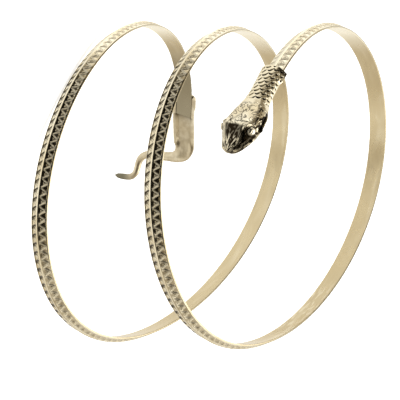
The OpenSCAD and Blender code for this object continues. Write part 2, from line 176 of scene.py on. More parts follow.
# The head, with the neck's share of its length, the jaw's flatness (less is flatter), the radius
# to which it bends inwards, and its turn towards the tail's side in degrees
HEAD_LEN = 25.4
NECK_SHARE = 0.46
HEAD_W = 9.6
NECK_ROOF = 1.4
CROWN_H = 4.2
JAW_DEPTH = 1.2
JAW_FLATNESS = 0.7
HEAD_BEND_R = 400
HEAD_YAW = 12
EYE_R = 1
# The tail
TAIL_LEN = 46.8
TAIL_WALL = 0.75
TAIL_ROOF = 0.8
# The castings' sections at their mouths
NECK_W = STRIP_W + 2 * CLEARANCE + 2 * SIDE_WALL
NECK_H = STRIP_T + CLEARANCE + NECK_ROOF
NECK_LEN = HEAD_LEN * NECK_SHARE
TAIL_W = STRIP_W + 2 * CLEARANCE + 2 * TAIL_WALL
TAIL_T = STRIP_T + CLEARANCE + TAIL_ROOF
# The short step at a channel's end, and how far the tail turns back to the coil's round per step
WALL_STEP = 0.05
SETTLE_SHARE = 0.3
# The channel for the strip: share of its half width that is flat on top, half width and height
CHANNEL_TOP = 0.6
CHANNEL_HALF = STRIP_W / 2 + CLEARANCE
CHANNEL_H = STRIP_T + CLEARANCE
# The lip round a mouth: share of the head's length that it takes, with its fade, the height at
# which it is gone, and how much sooner it ends on the longer tail
LIP_SHARE = 0.14
LIP_FADE = 0.03
LIP_H = 1.6
TAIL_LIP = 1.6

# The neck's scales: length of two rows, how many lie over the neck, and by how many rows a row
# is slanted from one side to the other
SCALE_LEN = 2.6
SCALES_OVER = 7
SCALE_SLANT = 2.5
# The pits between them: depth, and in rows and scales how far they are bowed and moved on, their
# half length and half width, and the share of a pit that its wall takes
SCALE_PIT = 0.4
PIT_BOW = 1.6
PIT_SHIFT = 0.12
PIT_HALF_LEN = 0.25
PIT_HALF_W = 0.56
PIT_WALL = 0.5
# Where the scales start at the neck's sides, in shares of its round, and at its ends, in rows
SCALE_SIDES = (0.012, 0.05)
SCALE_START = (0.2, 0.6)
SCALE_STOP = (0, 0.7)
NAPE_MARGIN = 0.2

# Spacing of the solids' sections, which the skins follow
NECK_STEP = SCALE_LEN / 8
HEAD_STEP = 0.4
TAIL_STEP = 0.7
TAIL_GRIP_ROWS = 4

# Sections of the head: place, blend, width, height, jaw, edge
BLEND, WIDTH, HEIGHT, JAW, EDGE = 1, 2, 3, 4, 5
HEAD = np.array([
    [0.00, 0.00, 1.00, 1.00, 0.00, 2.4],
    [0.55, 0.00, 0.98, 1.06, 0.00, 2.4],
    [0.85, 0.02, 1.00, 1.12, 0.05, 2.3],
    [1.05, 0.50, 1.00, 0.98, 0.50, 2.2],
    [1.20, 0.90, 1.00, 0.90, 0.90, 2.3],
    [1.42, 1.00, 1.01, 0.94, 1.00, 2.7],
    [1.57, 1.00, 0.98, 0.98, 1.00, 3.3],
    [1.67, 1.00, 0.90, 0.80, 0.95, 2.9],
    [1.79, 1.00, 0.75, 0.54, 0.80, 2.5],
    [1.90, 1.00, 0.58, 0.38, 0.60, 2.3],
    [1.97, 1.00, 0.40, 0.29, 0.40, 2.2],
    [2.00, 1.00, 0.22, 0.20, 0.20, 2.0],
])
# Raised and sunk lines of the head: place, side, height, place, side, height, reach, lift
RELIEF = np.array([
    [1.30, 0.80, 0.92, 1.54, 0.76, 0.93, 0.50, 0.26],
    [1.54, 0.76, 0.93, 1.64, 0.60, 0.90, 0.45, 0.24],
    [1.64, 0.60, 0.90, 1.80, 0.44, 0.50, 0.40, 0.20],
    [1.08, 0.98, 0.06, 1.45, 1.00, 0.00, 0.35, 0.24],
    [1.45, 1.00, 0.00, 1.70, 0.84, 0.04, 0.35, 0.26],
    [1.70, 0.84, 0.04, 1.97, 0.36, 0.15, 0.35, 0.26],
    [1.12, 0.98, 0.18, 1.45, 0.99, 0.14, 0.28, -0.30],
    [1.45, 0.99, 0.14, 1.70, 0.80, 0.17, 0.28, -0.32],
    [1.70, 0.80, 0.17, 1.93, 0.36, 0.25, 0.28, -0.28],
    [1.87, 0.30, 0.40, 1.87, 0.30, 0.40, 0.30, -0.30],
    [1.12, 0.30, 0.90, 1.34, 0.02, 1.00, 0.28, -0.20],
    [1.34, 0.02, 1.00, 1.52, 0.34, 1.00, 0.28, -0.20],
])
# The eye: place, side and height, and in eye radii its lift, and the depth, place and width of
# the groove round it
EYE = (1.585, 0.84, 0.48)
EYE_LIFT = 0.4
EYE_GROOVE = 0.22
EYE_GROOVE_AT = 1.25
EYE_GROOVE_W = 0.22

# The head's finish, with its dark face that is partly dark patina and partly painted shade. Each
# pair says where something starts and where it is full: round the eye in eye radii, along the head
# in places, and up it in shares of the crown
EYE_BRIGHT = (1.1, 0.7)
EYE_DARK = (2.4, 1.3)
CARVED_FROM = (1.02, 1.12)
WALLS_FROM = (1.02, 1.14)
WALLS_UNDER = (0.72, 0.58)
FRONT_FROM = (1.55, 1.6)
BROW_TO = (1.84, 1.72)
# Across the head, in shares of its half width: the dark jaw, the side of the face with painted
# shade and the side with painted light, and the painted shade in the neck's mouth, which also ends
# along the neck, in millimetres
JAW_FROM = (0.5, 0.85)
DARK_SIDE_FROM = (0.35, 0.75)
LIT_SIDE_FROM = (0.45, 0.6)
MOUTH_SIDE_FROM = (0.6, 0.8)
MOUTH_TO = (1.7, 0.9)
# Lift of a line at which it starts to shine and is bright, and depth at which one is dark, in eye
# radii
RAISED_BRIGHT = (0.08, 0.22)
SUNK_DARK = 0.25
# How much the dark face goes on under the head, and how strong the other tones are: the painted
# shade on the brow and on one side of the face, the painted light on the other side, the painted
# shade in the neck's mouth, and the face's warmth
UNDER_FACE = 0.25
BROW_SHADE = 0.82
DARK_SIDE = 0.8
LIT_SIDE = 0.7
MOUTH_DARK = 0.9
FACE_WARMTH = 0.25

# Bends of the tail: share of the length past the strip's end, degrees
TAIL_BENDS = np.array([
    [0.06, -7],
    [0.18, 0],
    [0.165, 80],
    [0.20, 4],
    [0.13, -75],
    [0.055, 0],
    [0.10, 72],
    [0.11, 8],
])
# Sections of the tail: share of TAIL_LEN, share of TAIL_W, share of TAIL_T
TAIL = np.array([
    [0.00, 1.00, 1.00],
    [0.34, 1.00, 1.00],
    [0.41, 0.84, 0.96],
    [0.45, 0.62, 0.93],
    [0.50, 0.45, 0.90],
    [0.58, 0.40, 0.88],
    [0.68, 0.35, 0.84],
    [0.78, 0.31, 0.76],
    [0.86, 0.29, 0.70],
    [0.95, 0.27, 0.64],
    [0.985, 0.20, 0.48],
    [1.00, 0.07, 0.16],
])
# The tail's hollow back: height, share of the half width, and shares of the length where it starts
# to fill up and where the section is round. Then how square the section's corners are, and how far
# the painted shadow in the corner by the strip's end reaches past it.
HOLLOW_H = 0.8
HOLLOW_HALF = 0.72
HOLLOW_END = 0.3
ROUND_START = 0.45
TAIL_EDGE = 2.4
CORNER_REACH = 0.9
# The hollow's walls and bottom from side to side, as shares of its height and half width
HOLLOW_RISE = np.array([0, 0.33, 0.67, 1, 1, 1, 1, 1, 1, 0.67, 0.33, 0])
HOLLOW_SIDE = np.array([1, 0.94, 0.87, 0.8, 0.48, 0.16, -0.16, -0.48, -0.8, -0.87, -0.94, -1])

# How finely the castings are drawn: points over a section and under it, and rows to a solid's row
TOP_POINTS = 112
UNDER_POINTS = 12
HEAD_FINE = 3
TAIL_POINTS = 32
TAIL_FINE = 4
SHARP_ANGLE = 38


def cos_deg(angle):
    return np.cos(np.radians(angle))


def sin_deg(angle):
    return np.sin(np.radians(angle))


def unit(v):
    v = np.asarray(v, float)
    return v / np.linalg.norm(v, axis=-1, keepdims=True)


def smooth_at(table, col, x):
    """The table's column at x, on a smooth curve through its rows."""
    at, value = table[:, 0], table[:, col]
    last = len(at) - 1
    before = np.maximum(np.arange(last + 1) - 1, 0)
    after = np.minimum(np.arange(last + 1) + 1, last)
    slope = (value[after] - value[before]) / (at[after] - at[before])
    i = np.clip(np.searchsorted(at, x, side="right") - 1, 0, last - 1)
    run = at[i + 1] - at[i]
    t = np.clip((x - at[i]) / run, 0, 1)
    return (value[i] * (1 + 2 * t) * (1 - t) ** 2 + slope[i] * run * t * (1 - t) ** 2
            + value[i + 1] * t * t * (3 - 2 * t) - slope[i + 1] * run * t * t * (1 - t))


def step_between(low, high, x):
    """0 below low, 1 above high, and smooth between them."""
    t = np.clip((x - low) / (high - low), 0, 1)
    return t * t * (3 - 2 * t)


def radius_at(u):
    """Radius to the middle of the strip, u turns from the coil's middle."""
    angle = 180 + 360 * u
    past = np.maximum(u - HEAD_TURNS, -TAIL_TURNS - u) + END_OUT_TURNS
    end = np.maximum(past, 0) / END_OUT_TURNS
    oval = OVAL * (OVAL_MIDDLE - OVAL_FADE * u)
    return (COIL_R - HEAD_CLOSING * u - END_CLOSING * u * u
            + oval * cos_deg(2 * (angle - OVAL_DIR - OVAL_DRIFT * u))
            + COIL_R * BULGE_SHARE * cos_deg(3 * (angle - BULGE_DIR)) + END_OUT * end ** 2)


def coil_point(u):
    """Middle of the strip, in the coil's own axes, u turns from the coil's middle."""
    u = np.asarray(u, float)
    angle = 180 + 360 * u
    r = radius_at(u)
    rise = COIL_RISE * u - RISE_SKEW * u ** 2 - RISE_EASE * u ** 3
    off = rise ** 2 / (2 * BOW_R)
    return np.stack([
        r * cos_deg(angle) - off * cos_deg(BOW_DIR),
        r * sin_deg(angle) - off * sin_deg(BOW_DIR),
        rise * (1 + r * cos_deg(angle - BOW_DIR) / BOW_R)
        + math.tan(math.radians(TURN_LEAN)) * r * cos_deg(angle - LEAN_DIR),
    ], -1)


def coil_frames(u):
    """Points of the coil with three directions: along to the head, across up the coil, and out."""
    u = np.atleast_1d(np.asarray(u, float))
    along = unit(coil_point(u + TURN_STEP) - coil_point(u - TURN_STEP))
    across = unit(np.array([0, 0, 1]) - along[:, 2:] * along)
    return np.stack([coil_point(u), along, across, np.cross(along, across)], 1)


def speed_at(u):
    """Length of strip per turn."""
    step = coil_point(u + TURN_STEP / 2) - coil_point(u - TURN_STEP / 2)
    return np.linalg.norm(step, axis=-1) / TURN_STEP


def on_frames(frames, v, h):
    """Points of sections, v across and h out from the strip's back."""
    v, h = np.asarray(v, float), np.asarray(h, float)
    return (frames[:, None, 0] + v[..., None] * frames[:, None, 2]
            + (h[..., None] - STRIP_T / 2) * frames[:, None, 3])


def between(frames, runs, fine_runs):
    """Frames at finer runs, on a smooth curve through the given ones."""
    i = np.clip(np.searchsorted(runs, fine_runs, side="right") - 1, 0, len(runs) - 2)
    gap = (runs[i + 1] - runs[i])[:, None, None]
    t = ((fine_runs - runs[i])[:, None, None]) / gap
    slope = np.gradient(frames, runs, axis=0)
    made = (frames[i] * (1 + 2 * t) * (1 - t) ** 2 + slope[i] * gap * t * (1 - t) ** 2
            + frames[i + 1] * t * t * (3 - 2 * t) - slope[i + 1] * gap * t * t * (1 - t))
    made[:, 1:] = unit(made[:, 1:])
    return made


def finer(runs, times):
    """The runs with each gap cut into equal parts, but for the short step of a channel's end."""
    made = []
    for a, b in zip(runs[:-1], runs[1:]):
        parts = 1 if b - a < 2 * WALL_STEP else times
        made.extend(a + (b - a) * k / parts for k in range(parts))
    return np.array(made + [runs[-1]])


class Laying:
    """Turns points of the coil's own axes into the part's frame, in metres."""

    def __init__(self):
        up = unit(np.array(UP))
        front = np.array(FRONT, float)
        back = -unit(front - (front @ up) * up)
        self.turn = np.array([np.cross(back, up), back, up])
        self.origin = np.zeros(3)

    def onto(self, points, node):
        """Sets the origin so that the box of these points has the node's centre."""
        low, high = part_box(node)
        turned = points.reshape(-1, 3) @ self.turn.T
        self.origin = (turned.max(0) + turned.min(0)) / 2 - np.array((low + high) / 2) / MM

    def lay(self, points):
        """The points in the part's frame, as one list."""
        return (points.reshape(-1, 3) @ self.turn.T - self.origin) * MM


def loft(name, laying, rings, uv_u, uv_v, attributes):
    """A closed mesh through rings of points, with an attribute to each point and a UV map."""
    rows, m = rings.shape[:2]
    at = np.arange(rows * m).reshape(rows, m)
    nxt = np.roll(at, -1, axis=1)
    quads = np.stack([at[:-1], nxt[:-1], nxt[1:], at[1:]], -1).reshape(-1, 4)
    faces = [*quads.tolist(), at[0, ::-1].tolist(), at[-1].tolist()]
    mesh = bpy.data.meshes.new(name)
    mesh.from_pydata(laying.lay(rings).tolist(), [], faces)
    for title, values in attributes.items():
        data = mesh.attributes.new(title, "FLOAT", "POINT").data
        data.foreach_set("value", np.asarray(values, np.float32).ravel())
    layer = mesh.uv_layers.new(name="UVMap")
    uv_u = np.broadcast_to(uv_u, (rows, m))
    wide_v = np.broadcast_to(uv_v, (rows, m))
    next_v = np.roll(wide_v, -1, axis=1)
    corner_u = np.stack([uv_u[:-1], uv_u[:-1], uv_u[1:], uv_u[1:]], -1)
    corner_v = np.stack([wide_v[:-1], next_v[:-1], next_v[1:], wide_v[1:]], -1)
    uv = np.stack([corner_u, corner_v], -1).reshape(-1)
    caps = np.zeros(4 * m)
    layer.data.foreach_set("uv", np.concatenate([uv, caps]).astype(np.float32))
    mesh.validate()
    mesh.shade_smooth()
    mesh.set_sharp_from_angle(angle=math.radians(SHARP_ANGLE))
    obj = bpy.data.objects.new(name, mesh)
    bpy.context.scene.collection.objects.link(obj)
    return obj


def strip_sides(zigzag, foot):
    """Distances of one slope's points from the ridge, in rows where the line lies at zigzag."""
    ridge_foot, edge_foot = RIDGE_MARGIN + RIDGE_WALL_RUN, OUTER_V - EDGE_WALL_RUN
    stamped = np.concatenate([
        0 * zigzag + [RIDGE_MARGIN, ridge_foot],
        (ridge_foot + zigzag - foot) / 2,
        *(zigzag + foot * step for step in LINE_STEPS),
        (zigzag + foot + edge_foot) / 2,
        0 * zigzag + [edge_foot, OUTER_V],
    ], 1)
    stamped = np.sort(np.clip(stamped, RIDGE_MARGIN, OUTER_V), axis=1)
    ridge = 0 * zigzag + [RIDGE_ROUND / 2, RIDGE_ROUND]
    return np.concatenate([ridge, stamped, 0 * zigzag + (HALF_W - BEVEL)], 1)


def top_fade(turns):
    """How far relief and dark tone fade at the tops of the loops and near the head; the lighter
    tone at the tops is painted light.
    """
    return np.maximum(step_between(*TOP_FADE, cos_deg(360 * turns)),
                      HEAD_END_FADE_SHARE * step_between(*HEAD_END_FADE, turns))


def strip_tones(side, zigzag, off_line, phase, turns):
    """Oxide, painted shade and painted highlight of the tail's slope, and then of the head's
    slope.
    """
    high = cos_deg(360 * turns)
    low_fade = step_between(*LOW_FADE, -high)
    # Oxide left off at the loops' tops paints them lighter: painted light
    kept = 1 - TOP_OXIDE_FADE * top_fade(turns)
    kept[PLAIN_ROWS] = 0
    inside = (side > RIDGE_MARGIN) * (side < OUTER_V)
    fields = np.clip(np.minimum(off_line, (OXIDE_REACH - off_line) / (OXIDE_REACH - 1)), 0, 1)
    inner_fields = INNER_OXIDE_AND_SHADE * step_between(*INNER_DARK, high)
    # Painted shade on every second arm
    arm = np.clip(ARM_REACH - off_line, 0, 1) * (phase > 0.5)
    from_peak = TOOTH * np.minimum(phase, 1 - phase)
    dot = np.exp(-(np.hypot(from_peak, side - OUTER_V + DOT_IN) / DOT_SIZE) ** DOT_RIM)
    # Painted shade beside the ridge
    ridge_shade = RIDGE_SHADE * step_between(*RIDGE_SHADE_V, side) * (side > RIDGE_ROUND / 2)

    # The tail's slope: painted shade on the arms, and oxide in the dots
    tail_oxide_and_shade = kept * np.maximum(arm * (side > RIDGE_ROUND) * (side < OUTER_V), dot)
    # The head's slope: oxide in the hollows and painted shade in the fields beside the lines,
    # painted shade on the arms and beside the ridge, less oxide towards the loops' bottoms, and a
    # faint painted shade there
    head_oxide_and_shade = fields * inside * np.where(side > zigzag, 1, inner_fields)
    head_oxide_and_shade = np.maximum(head_oxide_and_shade, ARM_SHADE * arm * inside)
    head_oxide_and_shade = (1 - LOW_OXIDE_FADE * low_fade) * np.maximum(head_oxide_and_shade, np.maximum(dot, ridge_shade))
    head_oxide_and_shade = kept * np.maximum(head_oxide_and_shade, LOW_SHADE * low_fade * (side < HALF_W - BEVEL))

    # A painted highlight on the raised lines, weaker on the tail's slope and on the dark arms
    crest = inside * np.clip(CREST_REACH - off_line, 0, 1)
    crest[PLAIN_ROWS] = 0
    tail_crest = TAIL_CREST * crest * (1 - np.maximum(dot, arm))
    head_crest = crest * np.where(phase > 0.5, ARM_CREST, 1)
    return tail_oxide_and_shade, tail_crest, head_oxide_and_shade, head_crest


def strip_rings():
    """Sections of the strip, with their UV and the tones of their points."""
    samples = np.linspace(-TAIL_TURNS, HEAD_TURNS, RUN_SAMPLES)
    middle = (samples[1:] + samples[:-1]) / 2
    length = float(np.sum(speed_at(middle)) * (samples[1] - samples[0]))
    teeth = round(length / TOOTH)
    tooth_at = (np.arange(teeth * ROWS_PER_TOOTH + 1) / ROWS_PER_TOOTH)[:, None]
    turns = -TAIL_TURNS + (TAIL_TURNS + HEAD_TURNS) * tooth_at / teeth
    phase = np.mod(tooth_at, 1)
    swing = 2 * phase - 1
    zigzag = RIDGE_MARGIN + ZIGZAG_W * ((1 - ZIGZAG_ROUND) * np.abs(swing)
                                        + ZIGZAG_ROUND * (1 - np.cos(np.pi * swing)) / 2)
    foot = LINE_WALL_RUN * math.hypot(TOOTH / 2, ZIGZAG_W) / (TOOTH / 2)
    side = strip_sides(zigzag, foot)
    off_line = np.abs(side - zigzag) / foot
    from_line = np.sin(np.pi / 2 * np.clip(off_line, 0, 1)) ** 2
    from_ridge = np.clip((side - RIDGE_MARGIN) / RIDGE_WALL_RUN, 0, 1)
    from_edge = np.clip((OUTER_V - side) / EDGE_WALL_RUN, 0, 1)
    pit = np.minimum(from_line, np.where(side < zigzag, from_ridge, from_edge))
    pit *= 1 - RELIEF_WEAR * top_fade(turns)
    pit[PLAIN_ROWS] = 0
    drop = RIDGE_DROP * np.clip(1 - side / RIDGE_ROUND, 0, 1) ** 2
    height = STRIP_EDGE + RIDGE_H * (1 - side / HALF_W) - drop - PIT_DEPTH * pit
    tail_oxide_and_shade, tail_crest, head_oxide_and_shade, head_crest = strip_tones(
        side, zigzag, off_line, phase, turns)

    rim_v = np.array([HALF_W, HALF_W, HALF_W - BEVEL, *BACK_STEPS,
                      BEVEL - HALF_W, -HALF_W, -HALF_W])
    rim_h = 0 * rim_v
    rim_h[[1, -2]] = BEVEL
    rim_h[[0, -1]] = STRIP_EDGE - BEVEL
    is_back = 1 + 0 * rim_v
    is_back[[0, -1]] = 0
    none, plain = 0 * side, 0 * rim_v

    def around(tail_slope, ridge, head_slope, rim):
        """Values of whole sections, from the back round the head's slope to the tail's."""
        whole = [tail_slope[:, ::-1], 0 * turns + ridge, head_slope, 0 * turns + rim]
        return np.concatenate(whole, 1)[:, ::-1]

    v = around(-side, 0, side, rim_v)
    h = around(height, STRIP_T - RIDGE_DROP, height, rim_h)
    outer = (side > zigzag) * pit
    return on_frames(coil_frames(turns[:, 0]), v, h), tooth_at, v, {
        "recess": around(pit, 0, pit, plain),
        "outer": around(outer, 0, outer, plain),
        # Oxide, and painted shade on the slopes
        "oxide_and_shade": around(tail_oxide_and_shade, 0, head_oxide_and_shade, RIM_OXIDE * (np.abs(rim_v) == HALF_W)),
        "back": around(none, 0, none, is_back),
        # A painted highlight on the inside at the loops' tops
        "pale": step_between(*PALE_TOP, cos_deg(360 * turns)) + 0 * v,
        # A painted highlight on the raised lines
        "crest": around(tail_crest, 0, head_crest, plain),
    }


def grip_frames(end, toward, grip, runs):
    """Frames of a casting along the strip that it holds, at runs from its mouth."""
    frames = coil_frames(end + toward * (np.asarray(runs) - grip) / speed_at(end))
    if toward < 0:
        frames[:, 1:3] *= -1
    return frames


def bent_step(f, run, bend_r, turn):
    """A step on from a frame, bent inwards to a radius and turned across by an angle."""
    along = unit(f[1] - f[3] * run / bend_r + f[2] * math.tan(math.radians(turn)))
    across = unit(f[2] - (f[2] @ along) * along)
    return np.array([f[0] + run * unit(f[1] + along), along, across, np.cross(along, across)])


def round_step(f, run, turn):
    """A step on from a frame that keeps to the coil's round, whatever the heading."""
    heading = unit(f[1] + f[2] * math.tan(math.radians(turn)))
    p = f[0] + run * unit(f[1] + heading)
    out = unit((1 - SETTLE_SHARE) * f[3] + SETTLE_SHARE * unit(np.array([p[0], p[1], 0])))
    along = unit(heading - (heading @ out) * out)
    return np.array([p, along, np.cross(out, along), out])


def top_ring(half_w, rise, edge, n):
    """Half rounded sections from one side over the top to the other, and their outward ways."""
    a = np.radians(180 - 180 * np.arange(n + 1) / n)[None]
    c, s = np.cos(a), np.sin(a).clip(0)
    v = half_w[:, None] * np.sign(c) * np.abs(c) ** (2 / edge[:, None])
    h = rise[:, None] * s ** (2 / edge[:, None])
    return v, h, np.broadcast_to(c, v.shape), np.broadcast_to(s, v.shape)


def under_angles():
    """Angles of the points under a round section, from one side to the other."""
    return np.pi * (np.arange(UNDER_POINTS) + 1) / (UNDER_POINTS + 1)


def channel_path():
    """The channel's sides and top, as across and height, in UNDER_POINTS points."""
    part = UNDER_POINTS // 3
    wall, ones = np.linspace(0, 1, part), np.ones(part)
    v = np.concatenate([ones, np.linspace(CHANNEL_TOP, -CHANNEL_TOP, part), -ones])
    return v * CHANNEL_HALF, np.concatenate([wall, ones, wall[::-1]]) * CHANNEL_H


def mouth_lip_at(share, h):
    """How far a casting stands out round its mouth, at a share of the head's length."""
    near = np.clip((LIP_SHARE - share) / LIP_FADE, 0, 1)
    return MOUTH_LIP * near * np.clip(1 - h / LIP_H, 0, None)


def run_of(place):
    """Length from the head's mouth to a place on it."""
    return place * NECK_LEN if place < 1 else NECK_LEN + (place - 1) * (HEAD_LEN - NECK_LEN)


def head_spot(place, side, height):
    """A spot of the head as run, distance to the side and height, in millimetres."""
    return np.array([run_of(place), side * HEAD_W / 2, height * CROWN_H])


def off_segment(p, a, b):
    """Distances of points from the line between two spots, or from a spot given twice."""
    d = b - a
    t = np.clip(((p - a) @ d) / max(d @ d, 1e-9), 0, 1)
    return np.linalg.norm(p - a - t[..., None] * d, axis=-1)


def head_relief(p):
    """Height of the raised lines, depth of the sunk ones, height of the eye, and its two tones."""
    raised, sunk = np.zeros(p.shape[:2]), np.zeros(p.shape[:2])
    for r in RELIEF:
        d = off_segment(p, head_spot(*r[0:3]), head_spot(*r[3:6])) / (r[6] * EYE_R)
        lift = r[7] * EYE_R * np.exp(-d * d)
        raised += np.maximum(lift, 0)
        sunk += np.minimum(lift, 0)
    d = np.linalg.norm(p - head_spot(*EYE), axis=-1) / EYE_R
    ball = np.sqrt(np.clip(1 - d * d, 0, 1)) * EYE_LIFT * EYE_R
    groove = np.exp(-((d - EYE_GROOVE_AT) / EYE_GROOVE_W) ** 2) * EYE_GROOVE * EYE_R
    return raised, sunk - groove, ball, step_between(*EYE_BRIGHT, d), step_between(*EYE_DARK, d)


def scale_pits(run, j):
    """Crescent pits between the neck's scales: 1 at their bottom."""
    row_len = SCALE_LEN / 2
    share = j / TOP_POINTS
    row = run / row_len + SCALE_SLANT * (share - 0.5)
    over = share * SCALES_OVER
    made = np.zeros(np.broadcast(run, j).shape)
    for shift_row, shift_over in ((0.5, 0.5), (1.5, 0)):
        along = np.mod(row - shift_row + 1, 2) - 1
        across = np.mod(over - shift_over + 0.5, 1) - 0.5
        along = along + PIT_BOW * across ** 2 - PIT_SHIFT
        pit = 1 - np.hypot(along / PIT_HALF_LEN, across / PIT_HALF_W)
        made = np.maximum(made, step_between(0, PIT_WALL, pit))
    sides = step_between(*SCALE_SIDES, share) * step_between(*SCALE_SIDES, 1 - share)
    ends = (step_between(*SCALE_START, run / row_len)
            * step_between(*SCALE_STOP, (NECK_LEN - NAPE_MARGIN - run) / row_len))
    return made * sides * ends


def head_frames():
    """Frames along the head casting at the runs of the solid's sections."""
    hold_rows = math.ceil((HEAD_GRIP + CLEARANCE) / NECK_STEP)
    neck_rows = round(NECK_LEN / NECK_STEP)
    head_rows = round((HEAD_LEN - NECK_LEN) / HEAD_STEP)
    hold = hold_rows * NECK_STEP
    runs = np.array([i * NECK_STEP for i in range(hold_rows + 1)] + [hold + WALL_STEP]
                    + [i * NECK_STEP for i in range(hold_rows + 1, neck_rows)]
                    + list(np.linspace(NECK_LEN, HEAD_LEN, head_rows + 1)))
    frames = list(grip_frames(HEAD_TURNS, 1, HEAD_GRIP, runs[:hold_rows + 1]))
    for a, b in zip(runs[hold_rows:-1], runs[hold_rows + 1:]):
        turn = -HEAD_YAW * (b - a) / (HEAD_LEN - hold)
        frames.append(bent_step(frames[-1], b - a, HEAD_BEND_R, turn))
    return runs, np.array(frames), hold


def head_rings():
    """Sections of the head casting, with their UV and the tones of their points."""
    runs, frames, hold = head_frames()
    run = finer(runs, HEAD_FINE)
    frames = between(frames, runs, run)
    past_neck = 1 + (run - NECK_LEN) / (HEAD_LEN - NECK_LEN)
    place = np.where(run < NECK_LEN, run / NECK_LEN, past_neck)
    blend = smooth_at(HEAD, BLEND, place)
    half_w = (NECK_W + (HEAD_W - NECK_W) * blend) * smooth_at(HEAD, WIDTH, place) / 2
    rise = (NECK_H + (CROWN_H - NECK_H) * blend) * smooth_at(HEAD, HEIGHT, place)
    jaw = JAW_DEPTH * smooth_at(HEAD, JAW, place)
    v, h, c, s = top_ring(half_w, rise, smooth_at(HEAD, EDGE, place), TOP_POINTS)
    run, place, half_w, jaw = (x[:, None] for x in (run, place, half_w, jaw))

    raised, sunk, ball, eye, by_eye = head_relief(np.stack([run + 0 * v, np.abs(v), h], -1))
    past = place > 1
    pits = np.where(past, 0, scale_pits(run, np.arange(TOP_POINTS + 1)[None]))
    lift = past * (raised + sunk + ball) - SCALE_PIT * pits
    lip = np.sign(v) * mouth_lip_at(run / HEAD_LEN, h)
    channel_v, channel_h = channel_path()
    b = under_angles()
    solid = run > hold + WALL_STEP / 2
    under_v = np.where(solid, half_w * np.cos(b), channel_v)
    under_h = np.where(solid, -jaw * np.sin(b) ** JAW_FLATNESS, channel_h)
    rings = on_frames(frames, np.concatenate([v + lip + lift * c, under_v], 1),
                      np.concatenate([h + lift * s, under_h], 1))

    across = v / half_w
    front = step_between(*FRONT_FROM, place)
    walls = step_between(*WALLS_FROM, place) * step_between(*WALLS_UNDER, h / CROWN_H)
    # The dark face on the front, the low walls and round the eye: partly dark patina, partly
    # painted shade
    face = past * np.maximum(np.maximum(front, walls), by_eye)
    on_jaw = step_between(*JAW_FROM, np.abs(np.cos(b)))
    streaky = 1 - BROW_SHADE * front * step_between(*BROW_TO, place)
    # Painted shade on one side of the face
    streaky = streaky * (1 - DARK_SIDE * front * step_between(*DARK_SIDE_FROM, across))
    # Painted light on the other side of the face
    lit_side = LIT_SIDE * front * step_between(*LIT_SIDE_FROM, -across)
    # Painted shade on the sides of the neck's mouth
    in_mouth = step_between(*MOUTH_SIDE_FROM, np.abs(across)) * step_between(*MOUTH_TO, run)
    lines = past * np.clip(-sunk / (SUNK_DARK * EYE_R), 0, 1)

    def over_and_under(over, under=0):
        return np.concatenate([over, under + 0 * under_v], 1)

    return rings, run / HEAD_LEN, np.linspace(0, 1, rings.shape[1])[None], {
        # Dark pits and sunk lines, and the painted shade in the neck's mouth
        "recess": over_and_under(np.maximum(pits, MOUTH_DARK * in_mouth) + lines),
        # The dark face, partly painted shade, going on under the head
        "face": over_and_under(face, (UNDER_FACE + (1 - UNDER_FACE) * on_jaw) * face[:, :1]),
        # Raised lines left bright, and the painted light on one side of the face
        "raised": over_and_under(
            past * np.maximum(step_between(*RAISED_BRIGHT, raised / EYE_R), lit_side)),
        "eye": over_and_under(past * eye),
        "carved": over_and_under(past * step_between(*CARVED_FROM, place) * (1 - face)),
        "streaky": over_and_under(streaky, 1),
    }


def tail_frames():
    """Frames along the tail casting at the runs of the solid's sections."""
    hold = TAIL_GRIP + CLEARANCE
    rows = round((TAIL_LEN - hold) / TAIL_STEP)
    runs = np.array([hold * i / TAIL_GRIP_ROWS for i in range(TAIL_GRIP_ROWS + 1)]
                    + [hold + WALL_STEP]
                    + [hold + (TAIL_LEN - hold) * i / rows for i in range(1, rows + 1)])
    shares = np.concatenate([[0], np.cumsum(TAIL_BENDS[:, 0])])
    turns = np.concatenate([[0], np.cumsum(TAIL_BENDS[:, 1])])
    heading = np.interp((runs - hold) / (TAIL_LEN - hold), shares, turns)
    frames = list(grip_frames(-TAIL_TURNS, -1, TAIL_GRIP, runs[:TAIL_GRIP_ROWS + 1]))
    for i in range(TAIL_GRIP_ROWS + 1, len(runs)):
        turn = heading[i] - heading[i - 1]
        frames.append(round_step(frames[-1], runs[i] - runs[i - 1], turn))
    return runs, np.array(frames), hold


